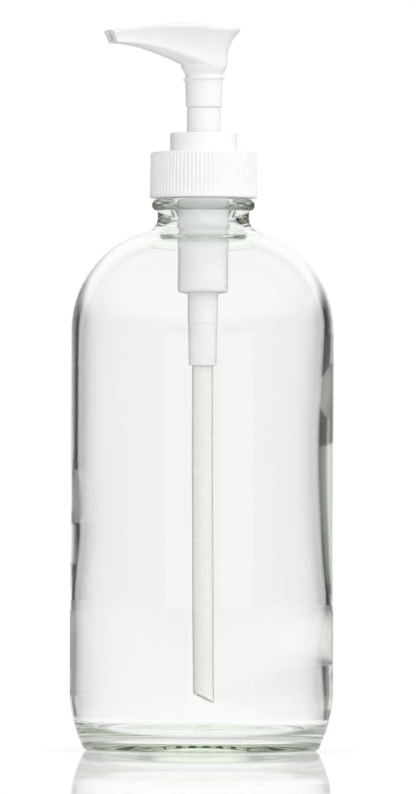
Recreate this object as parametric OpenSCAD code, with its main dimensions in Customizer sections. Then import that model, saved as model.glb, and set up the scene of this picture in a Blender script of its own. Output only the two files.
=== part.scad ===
// Soap pump dispenser: a round glass bottle with a screw-on lotion pump.
// Millimetres, +Z up. The origin is the centre of the bottle's base, on the surface that it stands on.
// The spout points along -X. The pump is drawn with its head up and its collar screwed tight.

/* [Bottle] */
// Outside diameter of the bottle's body
body_d = 75; // [74:0.5:76]
// Height of the bottle, from the base to the top of the lip
bottle_h = 167; // [166:0.5:168]
// Thickness of the glass in the body's wall
wall = 2.6; // [2.2:0.1:3]
// Radius of the rounded shoulder
shoulder_r = 29; // [28:0.5:30]
// Outside diameter of the neck, between the bead and the shoulder
neck_d = 26.1; // [25.6:0.1:26.4]
// Inside diameter of the neck
mouth_d = 18.8; // [18:0.1:19.2]
// Outside diameter of the bead under the collar
bead_d = 29.5; // [29:0.1:29.9]

/* [Neck thread] */
// Distance between turns, six threads to the inch
thread_pitch = 4.233; // [4.2:0.001:4.26]
// Diameter over the crests of the bottle's thread
thread_d = 27.4; // [27.2:0.1:27.5]
// Diameter of the neck between the turns
thread_root_d = 25; // [24.8:0.1:25.2]

/* [Collar] */
// Outside diameter of the collar over its ribs
collar_d = 30.6; // [30.4:0.1:30.9]
// Height of the collar
collar_h = 13.1; // [13:0.1:13.3]
// Number of grip ribs
rib_count = 80; // [60:1:90]
// Depth of the grooves between the ribs
rib_depth = 0.3; // [0.2:0.05:0.35]

/* [Pump] */
// Travel of the head from up to fully pressed
stroke = 15; // [12:0.5:15]
// Diameter of the sliding stem
stem_d = 9.6; // [9.5:0.1:9.6]
// Bore of the pump cylinder
bore_d = 12.4; // [12.3:0.05:12.5]
// Outside diameter of the pump cylinder
cylinder_d = 14.4; // [14.2:0.1:14.6]
// Outside diameter of the dip tube
tube_d = 6; // [5.8:0.1:6.2]
// Sideways bow of the dip tube at its free end
tube_bow = 0.9; // [0.5:0.1:2]
// Height of the dip tube's lowest point above the base
tube_gap = 14.2; // [11:0.1:18]

/* [Head] */
// Distance from the stem's axis to the tip of the spout
reach = 28.9; // [27:0.1:31]
// Radius of the rounded back of the thumb pad
pad_r = 10.3; // [9.5:0.1:10.8]
// Width of the spout at its tip
tip_w = 8.8; // [8:0.1:9.6]
// Bore of the spout
spout_bore_d = 2.6; // [2:0.1:2.8]

/* [Hidden] */
$fn = 96;
eps = 0.01;
running = 0.05;  // radial clearance of a running fit

// Bottle, worked out from the driving dimensions
body_r = body_d / 2;
neck_r = neck_d / 2;
mouth_r = mouth_d / 2;
neck_fillet = 4.2;
shoulder_x = body_r - shoulder_r;
shoulder_z = bottle_h - 47.1;
heel_r = 36.5;
heel_z = 17;
foot_r = 2.2;
foot_land = 1.2;
push_up = 5;
floor_t = 3.2;
inner_corner_r = 7;
inner_neck_fillet = 5.5;
bead_z = bottle_h - 11.5;
bead_half_h = 1.6;
lip_round = 0.8;
thread_z = bottle_h - 6.9;  // where the bottle's thread starts

// Heights of the pump's parts, up from the lip
gasket_t = 1;
flange_z = bottle_h + gasket_t;
flange_t = 1.1;
collar_top = bottle_h + 3.6;
collar_z = collar_top - collar_h;
collar_roof = 1.4;
ring_top = collar_top + 5.5;
ring_z = collar_top + 0.1;
tube_end_z = ring_z + 1.4;
piston_top = bottle_h - 8.7;
piston_h = 6.3;
guide_z = piston_top + 0.1;
step_z = bottle_h - 35.9;
web_z = bottle_h - 46;
web_t = 1.9;
spigot_z = bottle_h - 57.3;
tube_top = web_z - 0.1;
seat_z = web_z + web_t + 6.1;

// Heights of the head and stem
sleeve_z = ring_top + 7.3;
lock_z = sleeve_z + 7.9;
groove_z = sleeve_z + 9.5;
skirt_z = sleeve_z + 11.2;
flare_z = sleeve_z + 13.8;
pad_z = sleeve_z + 22.8;
stem_top = sleeve_z + 14;
spout_z = sleeve_z + 19.6;
crown_h = 1;

// Radii of the pump's parts
stem_r = stem_d / 2;
spigot_r = 4.2;
bore_r = bore_d / 2;
cylinder_r = cylinder_d / 2;
top_tube_r = 7.4;
narrow_r = 4.35;
narrow_bore_r = 3.4;
tube_r = tube_d / 2;
tube_bore_r = 2;
ball_r = 2.38;
ball_hole_r = 1.8;
rod_bore_r = 1.9;
rod_neck_r = 3.2;
rod_spigot_r = 3.3;
spring_r = 2.85;
wire_d = 0.7;
spring_coils = 8;
spring_z = seat_z;
spring_top = piston_top - piston_h - 0.1 - 1.2;
lock_thread_lead = 1.4;

// Points along an arc about centre c, of radius r, from angle a0 to a1, in n steps
function arc(c, r, a0, a1, n = 12) =
    [for (i = [0 : n]) let (a = a0 + (a1 - a0) * i / n) c + r * [cos(a), sin(a)]];

// Points along a shallow dome from the axis out to radius r, rise high at the axis
function dome(z, r, rise, n = 8) =
    [for (i = [0 : n]) let (x = r * i / n) [x, z + rise * (1 - pow(x / r, 2))]];

// A helical ridge. It winds from angle a0 for turns turns, starting at height z.
// base_r is inside the wall that it stands on, wall_r is that wall, and crest_r is its top.
module helix_ridge(base_r, wall_r, crest_r, z, lead, turns, a0, base_w, crest_w, per_turn = 30) {
    n = ceil(turns * per_turn);
    fade = 4;  // the ridge rises out of the wall over this many steps
    ring = function (i)
        let (a = a0 + 360 * turns * i / n,
             h = z + lead * turns * i / n,
             up = min(1, (i + 0.4) / fade, (n - i + 0.4) / fade),
             top = wall_r + (crest_r - wall_r) * up)
        [for (p = [[base_r, -base_w / 2], [top, -crest_w / 2], [top, crest_w / 2], [base_r, base_w / 2]])
            [p[0] * cos(a), p[0] * sin(a), h + p[1]]];
    outward = crest_r > base_r;
    sides = [for (i = [0 : n - 1], k = [0 : 3])
        let (a = 4 * i + k, b = 4 * i + (k + 1) % 4)
        outward ? [a, b, b + 4, a + 4] : [a, a + 4, b + 4, b]];
    first = outward ? [3, 2, 1, 0] : [0, 1, 2, 3];
    last = [for (k = first) 4 * n + 3 - k];
    polyhedron([for (i = [0 : n]) each ring(i)], concat([first], sides, [last]), convexity = 4);
}

// A closed coil of round wire with flat-lying end turns
module coil_spring(r, wire, z0, z1, coils, per_turn = 20, sides = 6) {
    n = coils * per_turn;
    span = z1 - z0 - wire;
    rise = function (t) t < 1 ? t * wire : t > coils - 1 ? span - (coils - t) * wire
        : wire + (span - 2 * wire) * (t - 1) / (coils - 2);
    points = [for (i = [0 : n], k = [0 : sides - 1])
        let (a = 360 * i / per_turn, b = 360 * k / sides, h = z0 + wire / 2 + rise(i / per_turn),
             x = r + wire / 2 * cos(b))
        [x * cos(a), x * sin(a), h + wire / 2 * sin(b)]];
    walls = [for (i = [0 : n - 1], k = [0 : sides - 1])
        let (a = sides * i + k, b = sides * i + (k + 1) % sides)
        [a, a + sides, b + sides, b]];
    first = [for (k = [0 : sides - 1]) k];
    last = [for (k = [sides - 1 : -1 : 0]) sides * n + k];
    polyhedron(points, concat([first], walls, [last]), convexity = 8);
}

module revolve(points) {
    rotate_extrude() polygon(points);
}

// Outside of the bottle, from the middle of the base up to the lip
function bottle_outside() =
    let (heel_x = body_r - heel_r,
         foot_x = heel_x + sqrt(pow(heel_r - foot_r, 2) - pow(heel_z - foot_r, 2)),
         foot_a = atan2(heel_z - foot_r, foot_x - heel_x),
         fillet_x = neck_r + neck_fillet,
         fillet_z = shoulder_z + sqrt(pow(shoulder_r + neck_fillet, 2) - pow(fillet_x - shoulder_x, 2)),
         fillet_a = atan2(fillet_z - shoulder_z, fillet_x - shoulder_x),
         root_r = thread_root_d / 2)
    concat(
        dome(0, foot_x - foot_land, push_up),
        arc([foot_x, foot_r], foot_r, -90, -foot_a, 6),
        arc([heel_x, heel_z], heel_r, -foot_a, 0, 8),
        arc([shoulder_x, shoulder_z], shoulder_r, 0, fillet_a, 14),
        arc([fillet_x, fillet_z], neck_fillet, 180 + fillet_a, 180, 6),
        [[neck_r, bead_z - bead_half_h]],
        arc([bead_d / 2 - bead_half_h, bead_z], bead_half_h, -90, 90, 8),
        [[root_r, bead_z + bead_half_h], [root_r, bottle_h - lip_round]],
        arc([root_r - lip_round, bottle_h - lip_round], lip_round, 0, 90, 4));

// Inside of the bottle, from the lip down to the middle of the floor
function bottle_inside() =
    let (inner_r = body_r - wall,
         arc_r = shoulder_r - wall,
         fillet_x = mouth_r + inner_neck_fillet,
         fillet_z = shoulder_z + sqrt(pow(arc_r + inner_neck_fillet, 2) - pow(fillet_x - shoulder_x, 2)),
         fillet_a = atan2(fillet_z - shoulder_z, fillet_x - shoulder_x),
         corner_x = inner_r - inner_corner_r,
         floor_points = dome(floor_t, corner_x, push_up - 0.4))
    concat(
        arc([mouth_r + lip_round, bottle_h - lip_round], lip_round, 90, 180, 4),
        arc([fillet_x, fillet_z], inner_neck_fillet, 180, 180 + fillet_a, 6),
        arc([shoulder_x, shoulder_z], arc_r, fillet_a, 0, 14),
        arc([corner_x, floor_t + inner_corner_r], inner_corner_r, 0, -90, 8),
        [for (i = [len(floor_points) - 2 : -1 : 0]) floor_points[i]]);

module glass_bottle() {
    color("lightcyan") union() {
        revolve(concat(bottle_outside(), bottle_inside()));
        helix_ridge(thread_root_d / 2 - 0.5, thread_root_d / 2, thread_d / 2, thread_z,
                    thread_pitch, 1.1, 0, 2.1, 0.9);
    }
}

// Outline of the ribbed skirt, seen from above
function ribbed_outline(r, depth, count) =
    [for (i = [0 : count - 1], k = [[-0.3, depth], [-0.16, 0], [0.16, 0], [0.3, depth]])
        let (a = 360 * (i + k[0]) / count) (r - k[1]) * [cos(a), sin(a)]];

module screw_collar() {
    r = collar_d / 2;
    skirt_r = 14;
    band = 1;  // plain bands above and below the ribs
    edge = 0.8;
    color("white") union() {
        difference() {
            union() {
                translate([0, 0, collar_z + band])
                    linear_extrude(collar_h - 2 * band) polygon(ribbed_outline(r, rib_depth, rib_count));
                revolve(concat([[0, collar_z], [r - 0.1, collar_z], [r - 0.1, collar_z + band],
                                [r - rib_depth - 0.1, collar_z + band], [r - rib_depth - 0.1, collar_top - band]],
                               arc([r - edge, collar_top - edge], edge, 0, 90, 4), [[0, collar_top]]));
            }
            translate([0, 0, collar_z - eps]) cylinder(h = collar_h - collar_roof + eps, r = skirt_r);
            translate([0, 0, collar_z]) cylinder(h = collar_h + 1, r = top_tube_r + 0.2);
        }
        helix_ridge(skirt_r + 0.4, skirt_r, 12.85, thread_z + thread_pitch / 6 - 1.35, thread_pitch, 1,
                    60, 1.9, 0.8);
    }
}

module sealing_gasket() {
    color("gainsboro") difference() {
        translate([0, 0, bottle_h]) cylinder(h = gasket_t, r = 13.2);
        translate([0, 0, bottle_h - 1]) cylinder(h = gasket_t + 2, r = top_tube_r + 0.2);
    }
}

module lock_ring() {
    cup_r = 9.55;
    bead_at = guide_z + 6.9;
    sleeve_bore = 5.5;
    guide_r = stem_r + running;
    color("white") union() {
        revolve(concat(
            [[guide_r, guide_z], [bore_r - 0.1, guide_z], [bore_r - 0.1, guide_z + 2.2], [6.25, guide_z + 2.6],
             [6.25, bead_at - 0.3], [6.5, bead_at], [6.25, bead_at + 0.3], [6.25, tube_end_z],
             [top_tube_r + 0.1, tube_end_z], [top_tube_r + 0.1, ring_z], [cup_r, ring_z]],
            arc([cup_r - 0.5, ring_top - 0.5], 0.5, 0, 90, 4),
            [[6.6, ring_top], [6.3, ring_top - 0.3], [6.3, ring_top - 4.6], [sleeve_bore, ring_top - 4.6],
             [sleeve_bore, guide_z + 9], [guide_r, guide_z + 8.6]]));
        helix_ridge(6.7, 6.3, 5.65, ring_top - 3.6, lock_thread_lead, 1.2, 0, 0.8, 0.4);
    }
}

module pump_cylinder() {
    upper_r = 7.45;
    groove_at = guide_z + 6.9;
    color("whitesmoke") difference() {
        revolve(concat(
            [[ball_hole_r, web_z], [tube_r, web_z], [tube_r, spigot_z], [tube_r + 0.95, spigot_z],
             [tube_r + 1.15, web_z + 1.2], [narrow_r, web_z + 1.6], [narrow_r, step_z]],
            arc([cylinder_r - 1.2, step_z + 1.2], 1.2, -90, 0, 5),
            [[cylinder_r, step_z + 14.4], [upper_r, step_z + 15.4], [upper_r, flange_z], [13, flange_z],
             [13, flange_z + flange_t], [top_tube_r, flange_z + flange_t], [top_tube_r, tube_end_z],
             [6.3, tube_end_z], [6.3, groove_at + 0.5], [6.6, groove_at + 0.2], [6.6, groove_at - 0.2],
             [6.3, groove_at - 0.5], [6.3, guide_z + 1.7], [bore_r, guide_z + 1.4], [bore_r, step_z + 1.5],
             [narrow_bore_r, step_z + 1.5], [narrow_bore_r, web_z + web_t + 0.6],
             [ball_hole_r, web_z + web_t]]));
        translate([0, 0, guide_z + 4.2]) rotate([0, 90, 0]) cylinder(h = 20, r = 0.5);  // air vent
    }
}

module dip_tube() {
    straight = tube_top - spigot_z + 4;
    run = tube_top - straight - tube_gap;
    bend_r = run * run / (2 * tube_bow);
    bend_a = asin(run / bend_r);
    cut_a = 20;
    color("ivory") difference() {
        union() {
            translate([0, 0, tube_top - straight]) tube_length(straight);
            translate([bend_r, 0, tube_top - straight]) rotate([-90, 0, 0]) mirror([1, 0, 0])
                rotate_extrude(angle = bend_a) translate([bend_r, 0]) tube_section();
        }
        translate([tube_bow + tube_r, 0, tube_gap]) rotate([0, cut_a, 0])
            translate([-12, -10, -20]) cube([24, 20, 20]);
    }
}

module tube_section() {
    difference() {
        circle(tube_r);
        circle(tube_bore_r);
    }
}

module tube_length(h) {
    linear_extrude(h) tube_section();
}

module check_ball(z) {
    translate([0, 0, z]) sphere(ball_r);
}

// Height of a resting ball's centre above the edge of its round seat
ball_rest = sqrt(ball_r * ball_r - ball_hole_r * ball_hole_r) + 0.02;

module inlet_ball() {
    color("lightsteelblue") check_ball(web_z + web_t + ball_rest + 0.05);
}

module spring_seat() {
    skirt = 2.2;
    top_t = 0.9;
    color("white") difference() {
        translate([0, 0, seat_z - top_t - skirt]) cylinder(h = skirt + top_t, r = narrow_bore_r);
        translate([0, 0, seat_z - top_t - skirt - eps]) cylinder(h = skirt + eps, r = 2.75);
        translate([0, 0, seat_z - top_t - 1]) cylinder(h = top_t + 2, r = 1.2);
        for (a = [0, 60, 120])
            rotate(a) translate([-2.3, -0.35, seat_z - top_t - 0.5]) cube([4.6, 0.7, top_t + 1]);
    }
}

module return_spring() {
    color("silver") coil_spring(spring_r, wire_d, spring_z, spring_top, spring_coils);
}

module piston() {
    lip_r = bore_r - 0.04;
    z = piston_top - piston_h;
    color("ghostwhite") revolve([
        [rod_neck_r + running, z + 0.5], [4.9, z + 0.5], [5.6, z], [lip_r, z + 0.1], [lip_r, z + 0.9],
        [5.5, z + 2.1], [5.5, z + 4.2], [lip_r, z + 5.4], [lip_r, z + 6.2], [5.6, z + piston_h],
        [4.9, z + 5.6], [4.9, piston_top], [rod_neck_r + running, piston_top]]);
}

module piston_rod() {
    flange_at = spring_top;
    color("white") difference() {
        revolve([[0, flange_at - 1.7], [2.4, flange_at - 1.7], [2.4, flange_at], [5.2, flange_at],
                 [5.2, flange_at + 1.2], [rod_neck_r, flange_at + 1.2], [rod_neck_r, piston_top + 0.1],
                 [rod_spigot_r, piston_top + 0.1], [rod_spigot_r, piston_top + 5.3],
                 [rod_spigot_r - 0.4, piston_top + 5.7], [0, piston_top + 5.7]]);
        translate([0, 0, flange_at - 3]) cylinder(h = 30, r = rod_bore_r);
    }
}

module pump_stem() {
    seat_at = sleeve_z + 5.6;
    color("white") revolve([
        [rod_spigot_r, piston_top + 0.1], [stem_r, piston_top + 0.1], [stem_r, sleeve_z - 0.4],
        [stem_r - 0.3, sleeve_z], [spigot_r, sleeve_z], [spigot_r, stem_top - 0.3], [spigot_r - 0.3, stem_top],
        [2.75, stem_top], [2.75, seat_at + 0.6], [ball_hole_r, seat_at], [ball_hole_r, seat_at - 1],
        [rod_spigot_r, seat_at - 2.5]]);
}

module outlet_ball() {
    color("lightsteelblue") check_ball(sleeve_z + 5.6 + ball_rest + 0.05);
}

// Shape of the head along the spout. d is the distance in front of the stem's axis.
function narrowing(d) = let (t = min(1, max(0, d / reach))) (1 - t) * (1 - t) * (1 + 2 * t);
function pad_half_w(d) = tip_w / 2 + (pad_r - tip_w / 2) * narrowing(d);
function crease_half_w(d) = tip_w / 2 - 0.5 + (6.76 - tip_w / 2 + 0.5) * narrowing(d);
function crease_z(d) = sleeve_z + 17.9 - 0.00493 * pow(max(0, 27.5 - d), 2.13);
function keel_z(d) = sleeve_z + 17.8 - 0.0392 * pow(max(0, 28 - d), 1.62);
function edge_z(d) = pad_z + 0.5 - 0.0032 * pow(max(0, d - 3), 2) - 0.005 * pow(max(0, 3 - d), 2);
function crown_z(d) = 0.35 + (crown_h - 0.35) * exp(-pow((d - 7) / 6, 2));
function flare(s) = s > 0.89 ? 1 : pow(s / 0.89, 2.3);

// One cross-section of the spout, from the middle of its top round its -Y side to the keel and back
function spout_section(d, tops = 4, walls = 6, bellies = 5) =
    let (w = pad_half_w(d), c = crease_half_w(d), ze = edge_z(d), zc = crease_z(d), zk = min(keel_z(d), zc - 0.15),
         half = concat(
             [for (i = [0 : tops]) let (u = i / tops) [w * u, ze + crown_z(d) * (1 - u * u)]],
             [for (i = [1 : walls]) let (s = 1 - i / walls) [c + (w - c) * flare(s), zc + (ze - zc) * s]],
             [for (i = [1 : bellies]) let (a = 90 * i / bellies) [c * cos(a), zc - (zc - zk) * sin(a)]]),
         n = len(half),
         slant = 0.42 * pow(d / reach, 3))
    [for (p = concat([for (p = half) [-p[0], p[1]]], [for (i = [n - 2 : -1 : 1]) half[i]]))
        [-d - slant * (p[1] - ze), p[0], p[1]]];

module spout_body(steps = 14) {
    sections = [for (i = [0 : steps]) spout_section(reach * i / steps)];
    m = len(sections[0]);
    walls = [for (i = [0 : steps - 1], k = [0 : m - 1])
        let (a = m * i + k, b = m * i + (k + 1) % m)
        each [[a, b, b + m], [a, b + m, a + m]]];
    back = [for (k = [m - 1 : -1 : 0]) k];
    tip = [for (k = [0 : m - 1]) m * steps + k];
    polyhedron([for (s = sections) each s], concat([back], walls, [tip]), convexity = 6);
}

module pump_head() {
    chamber_r = 2.75;
    roof_z = sleeve_z + 21.2;
    color("white") union() {
        difference() {
            union() {
                spout_body();
                revolve(concat(
                    [[0, sleeve_z], [5.13, sleeve_z], [5.33, lock_z - 1.6], [5.36, groove_z], [6.47, skirt_z]],
                    [for (i = [0 : 8]) let (s = i / 8)
                        [6.76 + (pad_r - 6.76) * flare(s * 0.89), flare_z + (pad_z - flare_z) * s * 0.89]],
                    [[pad_r, pad_z - 0.1], [pad_r - 0.4, pad_z + 0.15], [0, pad_z + 0.6]]));
            }
            translate([0, 0, sleeve_z - 1]) cylinder(h = stem_top - sleeve_z + 1, r = spigot_r);
            translate([0, 0, stem_top - 1]) cylinder(h = roof_z - stem_top + 1, r = chamber_r);
            translate([0, 0, spout_z]) rotate([0, -90, 0]) cylinder(h = reach + 10, d = spout_bore_d);
        }
        translate([0, 0, sleeve_z + 11.3]) cylinder(h = roof_z - sleeve_z - 11.3 + 0.3, r = 0.8);  // ball stop
        helix_ridge(5, 5.33, 6.05, lock_z - 0.7, lock_thread_lead, 1, 0, 0.9, 0.3);
    }
}

glass_bottle();
screw_collar();
sealing_gasket();
lock_ring();
pump_cylinder();
dip_tube();
inlet_ball();
spring_seat();
return_spring();
piston();
piston_rod();
pump_stem();
outlet_ball();
pump_head();
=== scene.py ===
import math

import bmesh
import bpy
from mathutils import Matrix, Vector, noise


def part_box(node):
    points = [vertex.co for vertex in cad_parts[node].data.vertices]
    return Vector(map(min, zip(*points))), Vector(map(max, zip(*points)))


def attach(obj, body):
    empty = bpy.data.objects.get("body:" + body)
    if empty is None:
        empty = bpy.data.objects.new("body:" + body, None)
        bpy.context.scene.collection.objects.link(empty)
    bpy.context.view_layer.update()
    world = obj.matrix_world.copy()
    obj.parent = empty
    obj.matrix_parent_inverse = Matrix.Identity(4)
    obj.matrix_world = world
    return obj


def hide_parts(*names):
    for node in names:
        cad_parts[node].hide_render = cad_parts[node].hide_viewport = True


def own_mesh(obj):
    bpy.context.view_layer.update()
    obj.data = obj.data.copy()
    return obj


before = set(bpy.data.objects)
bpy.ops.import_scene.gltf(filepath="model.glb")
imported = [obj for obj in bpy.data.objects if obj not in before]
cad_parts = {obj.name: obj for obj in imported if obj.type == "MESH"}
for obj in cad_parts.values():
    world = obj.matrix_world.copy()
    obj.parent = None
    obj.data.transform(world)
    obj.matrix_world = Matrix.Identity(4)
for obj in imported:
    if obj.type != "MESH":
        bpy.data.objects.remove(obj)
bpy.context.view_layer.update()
print("frame loaded")

mm = 0.001

# Camera and the direction it looks in
cameraSetup = {
    "azimuth": -20.0,  # degrees, negative is towards the spout
    "height": 72.0,
    "distance": 2400.0,
    "aimHeight": 100.8,
    "aimRight": 1.55,
    "fieldHeight": 226.4,  # millimetres seen from top to bottom at the bottle
    "roll": 0.25,
}


def lookVectors(setup):
    turn = math.radians(setup["azimuth"])
    forward = Vector((-math.sin(turn), math.cos(turn), 0))
    right = Vector((math.cos(turn), math.sin(turn), 0))
    return forward, right


def makeCamera(setup):
    forward, right = lookVectors(setup)
    aim = right * setup["aimRight"] + Vector((0, 0, setup["aimHeight"]))
    place = right * setup["aimRight"] - forward * setup["distance"] + Vector((0, 0, setup["height"]))
    data = bpy.data.cameras.new("camera")
    data.sensor_width = 36
    data.lens = data.sensor_width * setup["distance"] / setup["fieldHeight"]
    data.clip_start, data.clip_end = 0.1, 20
    camera = bpy.data.objects.new("camera", data)
    bpy.context.collection.objects.link(camera)
    turned = (aim - place).to_track_quat("-Z", "Y").to_matrix().to_4x4()
    roll = Matrix.Rotation(math.radians(setup["roll"]), 4, "Z")
    camera.matrix_world = Matrix.Translation(place * mm) @ turned @ roll
    bpy.context.scene.camera = camera


makeCamera(cameraSetup)
bpy.context.scene.view_settings.view_transform = "Standard"
bpy.context.scene.cycles.blur_glossy = 0  # light that reaches the pump through the glass stays sharp
bpy.context.scene.cycles.max_bounces = 28
bpy.context.scene.cycles.glossy_bounces = 28
bpy.context.scene.cycles.transmission_bounces = 28
print("camera placed")


# Rounds the corners of an outline. Each corner is (radius, height) or (radius, height, rounding).
def roundedOutline(corners, steps=6):
    points = []
    count = len(corners)
    for i, corner in enumerate(corners):
        here = Vector(corner[:2])
        if len(corner) < 3:
            points.append(here)
            continue
        before = Vector(corners[i - 1][:2]) - here
        after = Vector(corners[(i + 1) % count][:2]) - here
        length = min(corner[2], before.length * 0.48, after.length * 0.48)
        start = here + before.normalized() * length
        end = here + after.normalized() * length
        for k in range(steps + 1):
            t = k / steps
            points.append(start * (1 - t) ** 2 + here * 2 * t * (1 - t) + end * t * t)
    return points


def arcPoints(centre, radius, fromAngle, toAngle, steps):
    angles = [math.radians(fromAngle + (toAngle - fromAngle) * i / steps) for i in range(steps + 1)]
    return [Vector((centre[0] + radius * math.cos(a), centre[1] + radius * math.sin(a))) for a in angles]


def linePoints(start, end, steps):
    return [Vector(start).lerp(Vector(end), i / steps) for i in range(steps + 1)]


def smoothStep(low, high, value):
    t = min(1, max(0, (value - low) / (high - low)))
    return t * t * (3 - 2 * t)


# Turns a bmesh in millimetres into a smooth-shaded object in metres
def finishMesh(bm, name, sharpAngle=38):
    bmesh.ops.recalc_face_normals(bm, faces=bm.faces)
    mesh = bpy.data.meshes.new(name)
    bm.to_mesh(mesh)
    bm.free()
    mesh.transform(Matrix.Scale(mm, 4))
    for face in mesh.polygons:
        face.use_smooth = True
    mesh.set_sharp_from_angle(angle=math.radians(sharpAngle))
    piece = bpy.data.objects.new(name, mesh)
    bpy.context.collection.objects.link(piece)
    return piece


# Spins an outline about the Z axis. shape(angle, radius, height) gives how far a point moves
# outwards and upwards. An outline that starts on the axis also ends on it; any other becomes a ring.
def turnedMesh(outline, segments=160, shape=None):
    bm = bmesh.new()
    rings = []
    for radius, height in outline:
        if radius < 1e-6:
            rings.append([bm.verts.new((0, 0, height))])
            continue
        ring = []
        for s in range(segments):
            angle = 2 * math.pi * s / segments
            outward, upward = shape(angle, radius, height) if shape else (0, 0)
            r = radius + outward
            ring.append(bm.verts.new((r * math.cos(angle), r * math.sin(angle), height + upward)))
        rings.append(ring)
    last = len(rings) - 1 if len(rings[0]) == 1 else len(rings)
    for i in range(last):
        low, high = rings[i], rings[(i + 1) % len(rings)]
        for s in range(segments):
            t = (s + 1) % segments
            corners = [low[s % len(low)], low[t % len(low)], high[t % len(high)], high[s % len(high)]]
            bm.faces.new(list(dict.fromkeys(corners)))
    return bm


# Sweeps a round section along centres, each with its own outward direction
def sweptMesh(rings):
    bm = bmesh.new()
    made = [[bm.verts.new(point) for point in ring] for ring in rings]
    sides = len(made[0])
    for low, high in zip(made, made[1:]):
        for k in range(sides):
            n = (k + 1) % sides
            bm.faces.new((low[k], low[n], high[n], high[k]))
    bm.faces.new(made[0])
    bm.faces.new(made[-1])
    return bm


# How far a helical ridge stands out of its wall at a point
def ridgeHeight(angle, height, ridge):
    best = 0
    for turn in range(3):
        along = (angle - ridge["startAngle"]) / (2 * math.pi) + turn
        if not 0 <= along <= ridge["turns"]:
            continue
        off = abs(height - ridge["start"] - ridge["lead"] * along)
        side = 1 - smoothStep(ridge["crest"] / 2, ridge["base"] / 2, off)
        ends = smoothStep(0, 0.06, along) * smoothStep(0, 0.06, ridge["turns"] - along)
        best = max(best, ridge["depth"] * side * ends)
    return best


def applyModifiers(piece):
    graph = bpy.context.evaluated_depsgraph_get()
    mesh = bpy.data.meshes.new_from_object(piece.evaluated_get(graph))
    piece.modifiers.clear()
    piece.data = mesh
    return piece


def cutOrJoin(piece, other, operation):
    change = piece.modifiers.new(operation.lower(), "BOOLEAN")
    change.operation = operation
    change.solver = "EXACT"
    change.object = other
    bpy.context.view_layer.update()
    applyModifiers(piece)
    bpy.data.objects.remove(other)
    return piece


# Material helpers
def newMaterial(name):
    material = bpy.data.materials.new(name)
    material.use_nodes = True
    tree = material.node_tree
    tree.nodes.clear()
    output = tree.nodes.new("ShaderNodeOutputMaterial")
    shader = tree.nodes.new("ShaderNodeBsdfPrincipled")
    tree.links.new(shader.outputs[0], output.inputs["Surface"])
    return material, tree, shader, output


def setInput(tree, node, name, value):
    socket = node.inputs[name]
    if isinstance(value, bpy.types.NodeSocket):
        tree.links.new(value, socket)
    else:
        socket.default_value = value


def mathResult(tree, operation, first, second=0.5, third=0.5, clamp=False):
    node = tree.nodes.new("ShaderNodeMath")
    node.operation = operation
    node.use_clamp = clamp
    for i, value in enumerate((first, second, third)):
        setInput(tree, node, i, value)
    return node.outputs[0]


def noiseResult(tree, scale, detail=3.0, roughness=0.5, stretch=(1, 1, 1)):
    coordinates = tree.nodes.new("ShaderNodeTexCoord")
    mapping = tree.nodes.new("ShaderNodeMapping")
    mapping.inputs["Scale"].default_value = stretch
    texture = tree.nodes.new("ShaderNodeTexNoise")
    tree.links.new(coordinates.outputs["Object"], mapping.inputs["Vector"])
    tree.links.new(mapping.outputs["Vector"], texture.inputs["Vector"])
    texture.inputs["Scale"].default_value = scale
    texture.inputs["Detail"].default_value = detail
    texture.inputs["Roughness"].default_value = roughness
    return texture.outputs["Fac"]


def rangeResult(tree, value, toLow, toHigh, fromLow=0.0, fromHigh=1.0):
    node = tree.nodes.new("ShaderNodeMapRange")
    setInput(tree, node, "Value", value)
    limits = {"From Min": fromLow, "From Max": fromHigh, "To Min": toLow, "To Max": toHigh}
    for name, number in limits.items():
        node.inputs[name].default_value = number
    return node.outputs["Result"]


def colourResult(tree, factor, first, second):
    node = tree.nodes.new("ShaderNodeMix")
    node.data_type = "RGBA"
    tree.links.new(factor, node.inputs["Factor"])
    node.inputs["A"].default_value = (*first, 1)
    node.inputs["B"].default_value = (*second, 1)
    return node.outputs["Result"]


def bumpResult(tree, height, distance, strength=1.0, under=None):
    node = tree.nodes.new("ShaderNodeBump")
    node.inputs["Strength"].default_value = strength
    node.inputs["Distance"].default_value = distance
    tree.links.new(height, node.inputs["Height"])
    if under is not None:
        tree.links.new(under, node.inputs["Normal"])
    return node.outputs["Normal"]


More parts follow.
